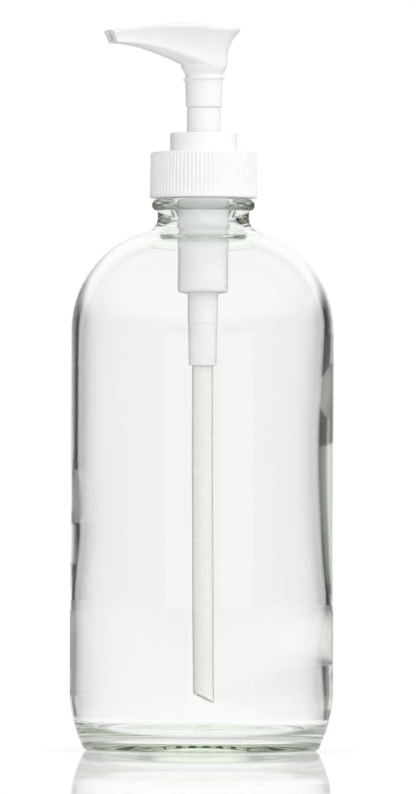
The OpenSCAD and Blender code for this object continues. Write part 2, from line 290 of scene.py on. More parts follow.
# Moulded plastic: faint cloudiness in the colour, uneven gloss, a very fine skin and shallow sink marks, and
# for some finishes painted shade that darkens the colour towards edges turning away from the view
def mouldedPlastic(name, finish):
    material, tree, shader, output = newMaterial(name)
    cloud = noiseResult(tree, finish["cloudScale"], 4.0)
    skin = noiseResult(tree, finish["skinScale"], 2.0)
    sink = noiseResult(tree, finish["sinkScale"], 1.0)
    gloss = noiseResult(tree, finish["glossScale"], 5.0, 0.6)
    colour = colourResult(tree, cloud, finish["darkColour"], finish["lightColour"])
    # Painted shade: the colour is mixed towards a darker grey where the surface turns away from the view
    if finish.get("rimShadeColour"):
        edge = tree.nodes.new("ShaderNodeLayerWeight").outputs["Facing"]
        rimShadeMix = tree.nodes.new("ShaderNodeMix")
        rimShadeMix.data_type = "RGBA"
        tree.links.new(rangeResult(tree, edge, 0, 1, finish["edgeFrom"], 1.0), rimShadeMix.inputs["Factor"])
        tree.links.new(colour, rimShadeMix.inputs["A"])
        rimShadeMix.inputs["B"].default_value = (*finish["rimShadeColour"], 1)
        colour = rimShadeMix.outputs["Result"]
    setInput(tree, shader, "Base Color", colour)
    roughness = rangeResult(tree, gloss, finish["glossiest"], finish["dullest"], 0.3, 0.7)
    setInput(tree, shader, "Roughness", roughness)
    fine = bumpResult(tree, skin, finish["skinDepth"])
    setInput(tree, shader, "Normal", bumpResult(tree, sink, finish["sinkDepth"], 1.0, fine))
    shader.inputs["IOR"].default_value = finish["ior"]
    shader.inputs["Subsurface Weight"].default_value = finish["glow"]
    shader.inputs["Subsurface Radius"].default_value = (0.002, 0.0018, 0.0016)
    if finish.get("throughLight"):
        through = tree.nodes.new("ShaderNodeBsdfTranslucent")
        through.inputs["Color"].default_value = (*finish["throughColour"], 1)
        mix = tree.nodes.new("ShaderNodeMixShader")
        mix.inputs["Fac"].default_value = finish["throughLight"]
        tree.links.new(shader.outputs[0], mix.inputs[1])
        tree.links.new(through.outputs[0], mix.inputs[2])
        tree.links.new(mix.outputs[0], output.inputs["Surface"])
    return material


satinWhiteFinish = {
    "darkColour": (0.903, 0.909, 0.905), "lightColour": (0.917, 0.922, 0.918),
    "cloudScale": 90.0, "skinScale": 2600.0, "skinDepth": 0.0000015, "sinkScale": 60.0, "sinkDepth": 0.00001,
    "glossScale": 300.0, "glossiest": 0.28, "dullest": 0.33, "ior": 1.49, "glow": 0.12,
}
milkyFinish = {
    "darkColour": (0.90, 0.91, 0.915), "lightColour": (0.93, 0.935, 0.94),
    # edge colour and edge start: painted shade darkening the housing's edges that turn away from the view
    "rimShadeColour": (0.66, 0.68, 0.68), "edgeFrom": 0.45,
    "cloudScale": 100.0, "skinScale": 1800.0, "skinDepth": 0.000003, "sinkScale": 110.0, "sinkDepth": 0.00002,
    "glossScale": 220.0, "glossiest": 0.2, "dullest": 0.32, "ior": 1.49, "glow": 0.0,
    "throughLight": 0.1, "throughColour": (0.93, 0.94, 0.935),
}
naturalTubeFinish = {
    "darkColour": (0.88, 0.875, 0.825), "lightColour": (0.905, 0.90, 0.855),
    # edge colour and edge start: painted shade darkening the tube's edges that turn away from the view
    "rimShadeColour": (0.36, 0.37, 0.33), "edgeFrom": 0.4,
    "cloudScale": 50.0, "skinScale": 900.0, "skinDepth": 0.000005, "sinkScale": 90.0, "sinkDepth": 0.00003,
    "glossScale": 160.0, "glossiest": 0.22, "dullest": 0.34, "ior": 1.45, "glow": 0.0,
    "throughLight": 0.1, "throughColour": (0.92, 0.91, 0.86),
}
waxyFinish = {
    "darkColour": (0.84, 0.85, 0.86), "lightColour": (0.9, 0.905, 0.91),
    "cloudScale": 200.0, "skinScale": 1500.0, "skinDepth": 0.00002, "sinkScale": 200.0, "sinkDepth": 0.00005,
    "glossScale": 300.0, "glossiest": 0.4, "dullest": 0.55, "ior": 1.5, "glow": 0.2,
}
foamFinish = {
    "darkColour": (0.80, 0.80, 0.79), "lightColour": (0.9, 0.9, 0.89),
    "cloudScale": 900.0, "skinScale": 1400.0, "skinDepth": 0.00006, "sinkScale": 400.0, "sinkDepth": 0.00008,
    "glossScale": 500.0, "glossiest": 0.65, "dullest": 0.85, "ior": 1.45, "glow": 0.0,
}


# Container glass: a faint green body and slow ripples in its surface
def containerGlass(name, look):
    material, tree, shader, output = newMaterial(name)
    ripple = noiseResult(tree, look["rippleScale"], 1.0, 0.4, (1, 1, 0.45))
    orange = noiseResult(tree, look["peelScale"], 2.0)
    smear = noiseResult(tree, look["smearScale"], 4.0)
    rippled = bumpResult(tree, ripple, look["rippleDepth"])
    setInput(tree, shader, "Normal", bumpResult(tree, orange, look["peelDepth"], 1.0, rippled))
    setInput(tree, shader, "Base Color", colourResult(tree, smear, look["darkTint"], look["lightTint"]))
    shader.inputs["Transmission Weight"].default_value = 1
    shader.inputs["Roughness"].default_value = 0
    shader.inputs["IOR"].default_value = look["ior"]
    body = tree.nodes.new("ShaderNodeVolumeAbsorption")
    body.inputs["Color"].default_value = (*look["bodyColour"], 1)
    body.inputs["Density"].default_value = look["bodyDensity"]
    tree.links.new(body.outputs[0], output.inputs["Volume"])
    return material


bottleGlassLook = {
    "darkTint": (0.985, 0.992, 0.988), "lightTint": (0.998, 1.0, 0.999),
    "rippleScale": 22.0, "rippleDepth": 0.00005, "peelScale": 260.0, "peelDepth": 0.000002,
    "smearScale": 30.0, "ior": 1.52, "bodyColour": (0.58, 0.79, 0.42), "bodyDensity": 8.0,
}


def springSteel(name):
    material, tree, shader, output = newMaterial(name)
    drawn = noiseResult(tree, 900.0, 3.0, 0.5, (1, 1, 4))
    setInput(tree, shader, "Base Color", colourResult(tree, drawn, (0.52, 0.53, 0.55), (0.72, 0.72, 0.73)))
    setInput(tree, shader, "Roughness", rangeResult(tree, drawn, 0.18, 0.38, 0.3, 0.7))
    setInput(tree, shader, "Normal", bumpResult(tree, drawn, 0.00001))
    shader.inputs["Metallic"].default_value = 1
    return material


satinWhite = mouldedPlastic("satinWhitePlastic", satinWhiteFinish)
milky = mouldedPlastic("milkyPlastic", milkyFinish)
naturalTube = mouldedPlastic("naturalTubePlastic", naturalTubeFinish)
waxy = mouldedPlastic("waxyPistonPlastic", waxyFinish)
foam = mouldedPlastic("gasketFoam", foamFinish)
bottleGlass = containerGlass("bottleGlass", bottleGlassLook)
ballGlass = containerGlass("valveBallGlass", {**bottleGlassLook, "rippleDepth": 0.00001, "ior": 1.5})
steel = springSteel("springSteel")
print("materials made")


def settle(piece, material, body, node):
    piece.data.materials.clear()
    piece.data.materials.append(material)
    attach(piece, body)
    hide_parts(node)
    return piece


lowBottle, highBottle = (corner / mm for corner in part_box("glass_bottle"))
lipZ = highBottle.z
threadStart = lipZ - 6.9
threadLead = 4.233  # six turns to the inch

# Glass bottle
bottle = {
    "bodyR": -lowBottle.x,
    "neckR": 13.05,
    "neckFillet": 4.2,
    "shoulderR": 29.0,
    "shoulderDrop": 47.1,  # from the lip down to where the shoulder starts
    "heelR": 36.5,
    "heelZ": 17.0,
    "footR": 1.6,
    "footLand": 1.2,
    "pushUp": 5.0,
    "beadR": 14.75,
    "beadHalf": 1.6,
    "beadDrop": 11.5,
    "rootR": 12.5,
    "mouthR": 9.4,
    "wall": 2.6,
    "floor": 3.2,
    "innerCorner": 7.0,
    "innerNeckFillet": 12.0,
    "lipRound": 0.8,
    "bars": 192,  # short bars moulded under the foot
    "barDepth": 0.35,
    "barsFrom": 28.6,  # distance from the axis where they begin
    "unevenZ": 4.0,
    "unevenDrop": 18.0,
    "unevenInnerR": 12.0,
    "unevenOuterR": 30.0,
    "segments": 576,
    "thread": {"start": threadStart, "startAngle": 0.0, "lead": threadLead, "turns": 1.1, "depth": 1.2,
               "base": 2.1, "crest": 0.9},
}


def bottleOutside(b):
    shoulderX, shoulderZ = b["bodyR"] - b["shoulderR"], lipZ - b["shoulderDrop"]
    heelX = b["bodyR"] - b["heelR"]
    footX = heelX + math.sqrt((b["heelR"] - b["footR"]) ** 2 - (b["heelZ"] - b["footR"]) ** 2)
    footAngle = math.degrees(math.atan2(b["heelZ"] - b["footR"], footX - heelX))
    filletX = b["neckR"] + b["neckFillet"]
    filletZ = shoulderZ + math.sqrt((b["shoulderR"] + b["neckFillet"]) ** 2 - (filletX - shoulderX) ** 2)
    filletAngle = math.degrees(math.atan2(filletZ - shoulderZ, filletX - shoulderX))
    beadZ = lipZ - b["beadDrop"]
    dome = footX - b["footLand"]
    points = [Vector((dome * i / 16, b["pushUp"] * (1 - (i / 16) ** 2))) for i in range(16)]
    points += linePoints((dome, 0), (footX, 0), 4)
    points += arcPoints((footX, b["footR"]), b["footR"], -90, -footAngle, 10)[1:]
    points += arcPoints((heelX, b["heelZ"]), b["heelR"], -footAngle, 0, 16)[1:]
    points += linePoints((b["bodyR"], b["heelZ"]), (b["bodyR"], shoulderZ), 12)[1:]
    points += arcPoints((shoulderX, shoulderZ), b["shoulderR"], 0, filletAngle, 30)[1:]
    points += arcPoints((filletX, filletZ), b["neckFillet"], 180 + filletAngle, 180, 10)[1:]
    beadX = b["beadR"] - b["beadHalf"]
    points += arcPoints((beadX, beadZ), b["beadHalf"], -90, 90, 16)
    top = lipZ - b["lipRound"]
    points += linePoints((b["rootR"], beadZ + b["beadHalf"]), (b["rootR"], top), 36)
    points += arcPoints((b["rootR"] - b["lipRound"], top), b["lipRound"], 0, 90, 6)[1:]
    return points


def bottleInside(b):
    innerR, arcR = b["bodyR"] - b["wall"], b["shoulderR"] - b["wall"]
    shoulderX, shoulderZ = b["bodyR"] - b["shoulderR"], lipZ - b["shoulderDrop"]
    filletX = b["mouthR"] + b["innerNeckFillet"]
    filletZ = shoulderZ + math.sqrt((arcR + b["innerNeckFillet"]) ** 2 - (filletX - shoulderX) ** 2)
    filletAngle = math.degrees(math.atan2(filletZ - shoulderZ, filletX - shoulderX))
    cornerX = innerR - b["innerCorner"]
    points = arcPoints((b["mouthR"] + b["lipRound"], lipZ - b["lipRound"]), b["lipRound"], 90, 180, 6)
    points += arcPoints((filletX, filletZ), b["innerNeckFillet"], 180, 180 + filletAngle, 12)
    points += arcPoints((shoulderX, shoulderZ), arcR, filletAngle, 0, 28)[1:]
    corner = b["floor"] + b["innerCorner"]
    points += linePoints((innerR, shoulderZ), (innerR, corner), 44)[1:]
    points += arcPoints((cornerX, corner), b["innerCorner"], 0, -90, 14)[1:]
    rise = b["pushUp"] - 0.4
    points += [Vector((cornerX * i / 14, b["floor"] + rise * (1 - (i / 14) ** 2))) for i in range(13, -1, -1)]
    return points


# Blown glass is uneven inside. Each wave is (height, spread, extra on the left, extra on the right).
wallWaves = (
    (62, 13, 0.5, 0.0),
    (46, 10, -0.35, 0.0),
    (86, 26, 0.0, 0.8),
    (42, 9, 0.0, -0.4),
    (25, 9, 0.0, 0.5),
)
wallChange = {
    "left": -0.85, "right": -0.4, "middle": -0.7,
    "drift": 0.25, "driftTurn": 0.8, "driftShift": 5.0, "driftRise": 70.0,
    "lowStart": 4.0, "lowEnd": 16.0, "highStart": 112.0, "highEnd": 147.0,
}


def unevenWall(angle, height):
    w = wallChange
    across = math.cos(angle - math.radians(cameraSetup["azimuth"]))
    left, right = w["left"], w["right"]
    for centre, spread, onLeft, onRight in wallWaves:
        size = math.exp(-((height - centre) / spread) ** 2)
        left += onLeft * size
        right += onRight * size
    side = across * across
    edge = right if across > 0 else left
    sideways = w["driftTurn"] * math.cos(angle) + w["driftShift"]
    slow = noise.noise(Vector((sideways, w["driftTurn"] * math.sin(angle), height / w["driftRise"])))
    fadeIn = smoothStep(w["lowStart"], w["lowEnd"], height)
    fadeOut = 1 - smoothStep(w["highStart"], w["highEnd"], height)
    return fadeIn * fadeOut * (w["middle"] * (1 - side) + edge * side + w["drift"] * slow)


def makeBottle(b):
    outside, inside = bottleOutside(b), bottleInside(b)
    insideSet = {(p.x, p.y) for p in inside}
    innerLimit = b["bodyR"] - b["wall"] + 0.01
    beadTop = lipZ - b["beadDrop"] + b["beadHalf"]
    unevenTop = lipZ - b["unevenDrop"]

    def shape(angle, radius, height):
        if b["rootR"] - 0.01 < radius < b["beadR"] and height > beadTop:
            return ridgeHeight(angle, height, b["thread"]), 0
        if height < 0.02 and radius > b["barsFrom"]:
            bar = 0.5 + 0.5 * math.cos(b["bars"] * angle)
            return 0, b["barDepth"] * (1 - smoothStep(0.25, 0.75, bar))
        if radius <= innerLimit and b["unevenZ"] < height < unevenTop and (radius, height) in insideSet:
            slope = smoothStep(b["unevenInnerR"], b["unevenOuterR"], radius)
            return -slope * unevenWall(angle, height), 0
        return 0, 0

    bm = turnedMesh(outside + inside, b["segments"], shape)
    return finishMesh(bm, "glassBottle", 60)


glassBottle = makeBottle(bottle)
settle(glassBottle, bottleGlass, "bottle", "glass_bottle")
print("bottle made")

# Ribbed collar, a little narrower at its top
lowCollar, highCollar = (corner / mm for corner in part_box("screw_collar"))
collar = {
    "bottomZ": lowCollar.z,
    "topZ": highCollar.z,
    "bottomR": highCollar.x,
    "topR": highCollar.x - 0.25,
    "ribs": 80,
    "ribDepth": 0.24,
    "roof": 1.4,
    "skirtR": 14.0,
    "holeR": 7.6,
    "footUp": 0.55,
    "topRound": 0.9,
    "segments": 800,
    "thread": {"start": threadStart + threadLead / 6 - 1.35, "startAngle": math.radians(60),
               "lead": threadLead, "turns": 1.0, "depth": 1.15, "base": 1.9, "crest": 0.8},
}


def makeCollar(c):
    low, high = c["bottomZ"] + c["footUp"], c["topZ"] - c["topRound"]

    def taper(z):
        return c["bottomR"] + (c["topR"] - c["bottomR"]) * (z - c["bottomZ"]) / (c["topZ"] - c["bottomZ"])

    heights = [low, low + 0.12, low + 0.3]
    heights += [low + 0.3 + (high - low - 0.6) * i / 8 for i in range(1, 8)]
    heights += [high - 0.3, high]
    outer = [Vector((taper(z), z)) for z in heights]
    topEdge = arcPoints((taper(high) - c["topRound"], high), c["topRound"], 0, 90, 8)[1:]
    roofLow = c["topZ"] - c["roof"]
    roof = [(c["holeR"], c["topZ"], 0.25), (c["holeR"], roofLow, 0.2), (c["skirtR"], roofLow, 0.3)]
    wall = linePoints((c["skirtR"], roofLow - 0.4), (c["skirtR"], c["bottomZ"] + 0.3), 44)
    foot = roundedOutline([(c["skirtR"], c["bottomZ"], 0.3), (c["bottomR"] - 0.02, c["bottomZ"], 0.25)])
    outline = outer + topEdge + roundedOutline(roof)[:-1] + wall + foot[:-1]
    outline.append(Vector((c["bottomR"], c["bottomZ"] + 0.3)))

    def shape(angle, radius, height):
        if radius > c["skirtR"] + 0.6 and low - 0.01 <= height <= high + 0.5:
            ends = smoothStep(low, low + 0.3, height) * (1 - smoothStep(high + 0.1, high + 0.6, height))
            rib = 0.5 + 0.5 * math.cos(c["ribs"] * angle)
            return -c["ribDepth"] * ends * (1 - rib ** 0.7), 0
        if abs(radius - c["skirtR"]) < 0.01 and height < roofLow - 0.3:
            return -ridgeHeight(angle, height, c["thread"]), 0
        return 0, 0

    return finishMesh(turnedMesh(outline, c["segments"], shape), "screwCollar")


settle(makeCollar(collar), satinWhite, "closure", "screw_collar")

# Gasket under the cylinder's flange
lowGasket, highGasket = (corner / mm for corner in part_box("sealing_gasket"))
gasketOutline = roundedOutline([(7.6, lowGasket.z, 0.25), (highGasket.x, lowGasket.z, 0.3),
                                (highGasket.x, highGasket.z, 0.3), (7.6, highGasket.z, 0.25)])
gasket = finishMesh(turnedMesh(gasketOutline), "sealingGasket")
settle(gasket, foam, "pump_body", "sealing_gasket")

# Lock ring: a cup on the collar with a guide tube for the stem
lowRing, highRing = (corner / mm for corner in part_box("lock_ring"))
ring = {
    "top": highRing.z, "cupR": highRing.x, "guideZ": lowRing.z, "cupZ": highRing.z - 5.4,
    "guideR": 4.85, "tubeR": 6.25, "boreR": 6.3,
    "thread": {"start": highRing.z - 3.6, "startAngle": 0.0, "lead": 1.4, "turns": 1.2, "depth": 0.65,
               "base": 0.8, "crest": 0.4},
}


def makeLockRing(k):
    top, guide, cupZ = k["top"], k["guideZ"], k["cupZ"]
    cupR, tubeR, boreR = k["cupR"], k["tubeR"], k["boreR"]
    outline = roundedOutline([
        (k["guideR"], guide, 0.15), (6.1, guide, 0.3), (6.1, guide + 2.2, 0.2), (tubeR, guide + 2.6, 0.2),
        (tubeR, guide + 6.6), (6.5, guide + 6.9, 0.1), (tubeR, guide + 7.2), (tubeR, cupZ + 1.4, 0.1),
        (7.5, cupZ + 1.4, 0.1), (7.5, cupZ, 0.2), (cupR, cupZ, 0.2), (cupR, top, 0.55), (6.45, top, 0.3),
    ])
    outline += linePoints((boreR, top - 0.4), (boreR, top - 4.5), 24)
    outline += roundedOutline([
        (boreR, top - 4.6), (5.5, top - 4.6, 0.1), (5.5, guide + 9, 0.1), (k["guideR"], guide + 8.6, 0.1),
        (k["guideR"], guide + 0.3),
    ])

    def shape(angle, radius, height):
        threaded = abs(radius - boreR) < 0.01 and height > top - 4.55
        return (-ridgeHeight(angle, height, k["thread"]) if threaded else 0), 0

    return finishMesh(turnedMesh(outline, 192, shape), "lockRing")


settle(makeLockRing(ring), satinWhite, "pump_body", "lock_ring")

# Pump cylinder, with its flange above the gasket and the socket for the dip tube below
lowCylinder, highCylinder = (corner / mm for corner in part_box("pump_cylinder"))
cylinder = {
    "top": highCylinder.z, "bottom": lowCylinder.z, "flangeR": highCylinder.x, "flangeZ": lipZ + 1.0,
    "stepZ": lipZ - 35.9, "webZ": lipZ - 46.0, "outerR": 7.2, "upperR": 7.45, "boreR": 6.2,
    "narrowR": 4.35, "narrowBore": 3.4, "tubeR": 3.0, "ballHole": 1.8, "ringR": 6.3,
    "ventZ": lipZ - 4.4, "ventR": 0.5, "ventFrom": 5.0, "ventTo": 9.0,
}


def makeCylinder(c):
    step, web, top, bottom = c["stepZ"], c["webZ"], c["top"], c["bottom"]
    tubeR, outerR, upperR, ringR = c["tubeR"], c["outerR"], c["upperR"], c["ringR"]
    flangeR, flangeZ, ballHole = c["flangeR"], c["flangeZ"], c["ballHole"]
    corners = [
        (ballHole, web), (tubeR, web), (tubeR, bottom + 0.2), (tubeR + 0.2, bottom, 0.1),
        (tubeR + 0.95, bottom, 0.25), (tubeR + 1.15, web + 1.0, 0.25), (c["narrowR"] - 0.05, web + 1.3, 0.2),
        (c["narrowR"], step, 0.5), (outerR, step + 0.25, 1.1), (outerR, step + 12.9, 0.1),
        (outerR + 0.14, step + 13.1, 0.1), (outerR + 0.14, step + 14.6, 0.1), (upperR, step + 15.3, 0.2),
        (upperR, step + 17.4, 0.1), (upperR + 0.1, step + 17.7, 0.1), (upperR + 0.1, flangeZ, 0.2),
        (flangeR, flangeZ, 0.2), (flangeR, flangeZ + 1.1, 0.3), (7.4, flangeZ + 1.1, 0.3), (7.4, top, 0.2),
        (ringR, top, 0.2), (ringR, top - 6.2), (6.6, top - 6.5), (6.6, top - 6.9), (ringR, top - 7.2),
        (ringR, top - 12.0), (c["boreR"], top - 12.3), (c["boreR"], step + 1.5, 0.2),
        (c["narrowBore"], step + 1.5, 0.2), (c["narrowBore"], web + 2.5), (ballHole, web + 1.9),
    ]
    piece = finishMesh(turnedMesh(roundedOutline(corners), 160), "pumpCylinder")
    near, far = c["ventFrom"], c["ventTo"]
    vent = [Vector(p) for p in ((0, near), (c["ventR"], near), (c["ventR"], far), (0, far))]
    drill = finishMesh(turnedMesh(vent, 24), "drill")
    turned = Matrix.Rotation(math.radians(90), 4, "Y")
    drill.data.transform(Matrix.Translation((0, 0, c["ventZ"] * mm)) @ turned)
    cutOrJoin(piece, drill, "DIFFERENCE")
    return piece


settle(makeCylinder(cylinder), milky, "pump_body", "pump_cylinder")

# Dip tube: straight in its socket, then a slow bow, with a slanted end
lowTube, highTube = (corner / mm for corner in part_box("dip_tube"))
tube = {
    "top": highTube.z, "gap": lowTube.z, "radius": 3.0, "bore": 2.0, "bow": highTube.x - 3.0,
    "cut": 20.0, "straightTo": lowCylinder.z - 4.0, "stations": 60, "sides": 64,
}


def makeTube(t):
    run = t["straightTo"] - t["gap"]
    slant = math.tan(math.radians(t["cut"]))

    def ringAt(station, radius):
        z = t["top"] + (t["gap"] - t["top"]) * station / t["stations"]
        off = t["bow"] * max(0, (t["straightTo"] - z) / run) ** 2
        points = []
        for k in range(t["sides"]):
            angle = 2 * math.pi * k / t["sides"]
            x, y = off + radius * math.cos(angle), radius * math.sin(angle)
            lowest = t["gap"] + (t["bow"] + t["radius"] - x) * slant
            points.append((x, y, max(z, lowest)))
        return points

    bm = bmesh.new()
    shells = []
    for radius in (t["radius"], t["bore"]):
        shells.append([[bm.verts.new(p) for p in ringAt(s, radius)] for s in range(t["stations"] + 1)])
    for shell in shells:
        for low, high in zip(shell, shell[1:]):
            for k in range(t["sides"]):
                n = (k + 1) % t["sides"]
                bm.faces.new((low[k], low[n], high[n], high[k]))
    for end in (0, -1):
        outer, inner = shells[0][end], shells[1][end]
        for k in range(t["sides"]):
            n = (k + 1) % t["sides"]
            bm.faces.new((outer[k], outer[n], inner[n], inner[k]))
    bmesh.ops.remove_doubles(bm, verts=bm.verts, dist=0.001)
    return finishMesh(bm, "dipTube")


settle(makeTube(tube), naturalTube, "pump_body", "dip_tube")
print("collar, ring, cylinder and tube made")

# Return spring, with flat end turns
lowSpring, highSpring = (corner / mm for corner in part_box("return_spring"))
spring = {
    "low": lowSpring.z, "high": highSpring.z, "meanR": highSpring.x - 0.35, "wire": 0.7, "coils": 8,
    "perTurn": 36, "sides": 14,
}


def makeSpring(s):
    span = s["high"] - s["low"] - s["wire"]
    rings = []
    for i in range(s["coils"] * s["perTurn"] + 1):
        turn = i / s["perTurn"]
        if turn < 1:
            rise = turn * s["wire"]
        elif turn > s["coils"] - 1:
            rise = span - (s["coils"] - turn) * s["wire"]
        else:
            rise = s["wire"] + (span - 2 * s["wire"]) * (turn - 1) / (s["coils"] - 2)
        angle = 2 * math.pi * turn
        ringPoints = []
        for k in range(s["sides"]):
            around = 2 * math.pi * k / s["sides"]
            r = s["meanR"] + s["wire"] / 2 * math.cos(around)
            z = s["low"] + s["wire"] / 2 + rise + s["wire"] / 2 * math.sin(around)
            ringPoints.append((r * math.cos(angle), r * math.sin(angle), z))
        rings.append(ringPoints)
    return finishMesh(sweptMesh(rings), "returnSpring")


returnSpring = settle(makeSpring(spring), steel, "pump_body", "return_spring")
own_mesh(returnSpring)

# Piston, rod and stem
lowPiston, highPiston = (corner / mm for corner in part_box("piston"))
pistonZ, pistonTop, pistonR = lowPiston.z, highPiston.z, highPiston.x
pistonOutline = roundedOutline([
    (3.25, pistonZ + 0.5), (4.9, pistonZ + 0.5, 0.1), (5.6, pistonZ, 0.1), (pistonR, pistonZ + 0.1, 0.2),
    (pistonR, pistonZ + 0.9, 0.2), (5.5, pistonZ + 2.1, 0.4), (5.5, pistonZ + 4.2, 0.4),
    (pistonR, pistonZ + 5.4, 0.2), (pistonR, pistonZ + 6.2, 0.1), (5.6, pistonZ + 6.3, 0.1),
    (4.9, pistonZ + 5.6, 0.1), (4.9, pistonTop, 0.15), (3.25, pistonTop),
])
settle(finishMesh(turnedMesh(pistonOutline), "piston_"), waxy, "plunger", "piston")

lowRod, highRod = (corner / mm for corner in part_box("piston_rod"))
flangeZ = lowRod.z + 1.7
rodOutline = roundedOutline([
    (1.9, lowRod.z), (2.4, lowRod.z, 0.3), (2.4, flangeZ), (5.2, flangeZ, 0.2), (5.2, flangeZ + 1.2, 0.2),
    (3.2, flangeZ + 1.2, 0.2), (3.2, pistonTop + 0.1), (3.3, pistonTop + 0.1), (3.3, highRod.z - 0.4),
    (2.9, highRod.z, 0.1), (1.9, highRod.z),
])
settle(finishMesh(turnedMesh(rodOutline), "pistonRod"), satinWhite, "head", "piston_rod")

lowStem, highStem = (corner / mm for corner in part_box("pump_stem"))
lowHead, highHead = (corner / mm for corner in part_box("pump_head"))
sleeveZ, seatZ, stemR = lowHead.z, lowHead.z + 5.6, highStem.x
socketR, ballR = 4.2, 2.75
stemOutline = roundedOutline([
    (3.3, lowStem.z), (stemR, lowStem.z, 0.3), (stemR, sleeveZ - 0.4, 0.1), (stemR - 0.3, sleeveZ, 0.1),
    (socketR, sleeveZ), (socketR, highStem.z - 0.3), (3.9, highStem.z), (ballR, highStem.z),
    (ballR, seatZ + 0.6), (1.8, seatZ), (1.8, seatZ - 1), (3.3, seatZ - 2.5),
])
settle(finishMesh(turnedMesh(stemOutline), "pumpStem"), satinWhite, "head", "pump_stem")
print("spring, piston and stem made")

# Pump head: a sleeve that flares into the thumb pad, and a spout that droops from it
head = {
    "reach": 28.9, "padR": 10.3, "tipHalf": 4.4, "neckR": 6.76,
    "edgeZ": sleeveZ + 23.3, "edgeDroop": 0.0032, "edgeBack": 0.005, "edgeFrom": 3.0,
    "creaseZ": sleeveZ + 17.9, "creaseRise": 0.00493, "creaseFrom": 27.5, "creasePower": 2.13,
    "creaseIn": 0.5,
    "keelZ": sleeveZ + 17.8, "keelRise": 0.0392, "keelFrom": 28.0, "keelPower": 1.62, "keelGap": 0.15,
    "crown": 1.0, "crownLow": 0.35, "crownAt": 7.0, "crownSpread": 6.0,
    "tipSlant": 0.42, "flareEnd": 0.89, "flarePower": 2.3,
    "sleeveLowR": 5.13, "sleeveHighR": 5.36, "skirtR": 6.47,
    "grooveZ": sleeveZ + 9.5, "skirtZ": sleeveZ + 11.2, "flareZ": sleeveZ + 13.8, "padZ": sleeveZ + 22.8,
    "boreR": 1.3, "boreFrom": 2.0, "boreTo": 38.9, "spoutZ": sleeveZ + 19.6,
    "passageR": 0.8, "passageZ": sleeveZ + 11.3, "roofZ": sleeveZ + 21.2,
    "voxel": 0.17, "smoothing": 9,
    "thread": {"start": sleeveZ + 7.2, "startAngle": 0.0, "lead": 1.4, "turns": 1.0, "depth": 0.7,
               "base": 0.9, "crest": 0.3},
}


def narrowing(d):
    t = min(1, max(0, d / head["reach"]))
    return (1 - t) ** 2 * (1 + 2 * t)


def flare(s):
    return 1 if s > head["flareEnd"] else (s / head["flareEnd"]) ** head["flarePower"]


def spoutSection(d, tops=12, walls=16, bellies=12):
    h = head
    tip = h["tipHalf"]
    w = tip + (h["padR"] - tip) * narrowing(d)
    c = tip - h["creaseIn"] + (h["neckR"] - tip + h["creaseIn"]) * narrowing(d)
    ahead, behind = max(0, d - h["edgeFrom"]), max(0, h["edgeFrom"] - d)
    edge = h["edgeZ"] - h["edgeDroop"] * ahead ** 2 - h["edgeBack"] * behind ** 2
    crease = h["creaseZ"] - h["creaseRise"] * max(0, h["creaseFrom"] - d) ** h["creasePower"]
    keel = h["keelZ"] - h["keelRise"] * max(0, h["keelFrom"] - d) ** h["keelPower"]
    keel = min(keel, crease - h["keelGap"])
    bulge = math.exp(-((d - h["crownAt"]) / h["crownSpread"]) ** 2)
    crown = h["crownLow"] + (h["crown"] - h["crownLow"]) * bulge
    half = [(w * i / tops, edge + crown * (1 - (i / tops) ** 2)) for i in range(tops + 1)]
    for i in range(1, walls + 1):
        s = 1 - i / walls
        half.append((c + (w - c) * flare(s), crease + (edge - crease) * s))
    for i in range(1, bellies + 1):
        a = math.pi / 2 * i / bellies
        half.append((c * math.cos(a), crease - (crease - keel) * math.sin(a)))
    slant = h["tipSlant"] * (d / h["reach"]) ** 3
    loop = [(-y, z) for y, z in half] + half[-2:0:-1]
    return [(-d - slant * (z - edge), y, z) for y, z in loop]


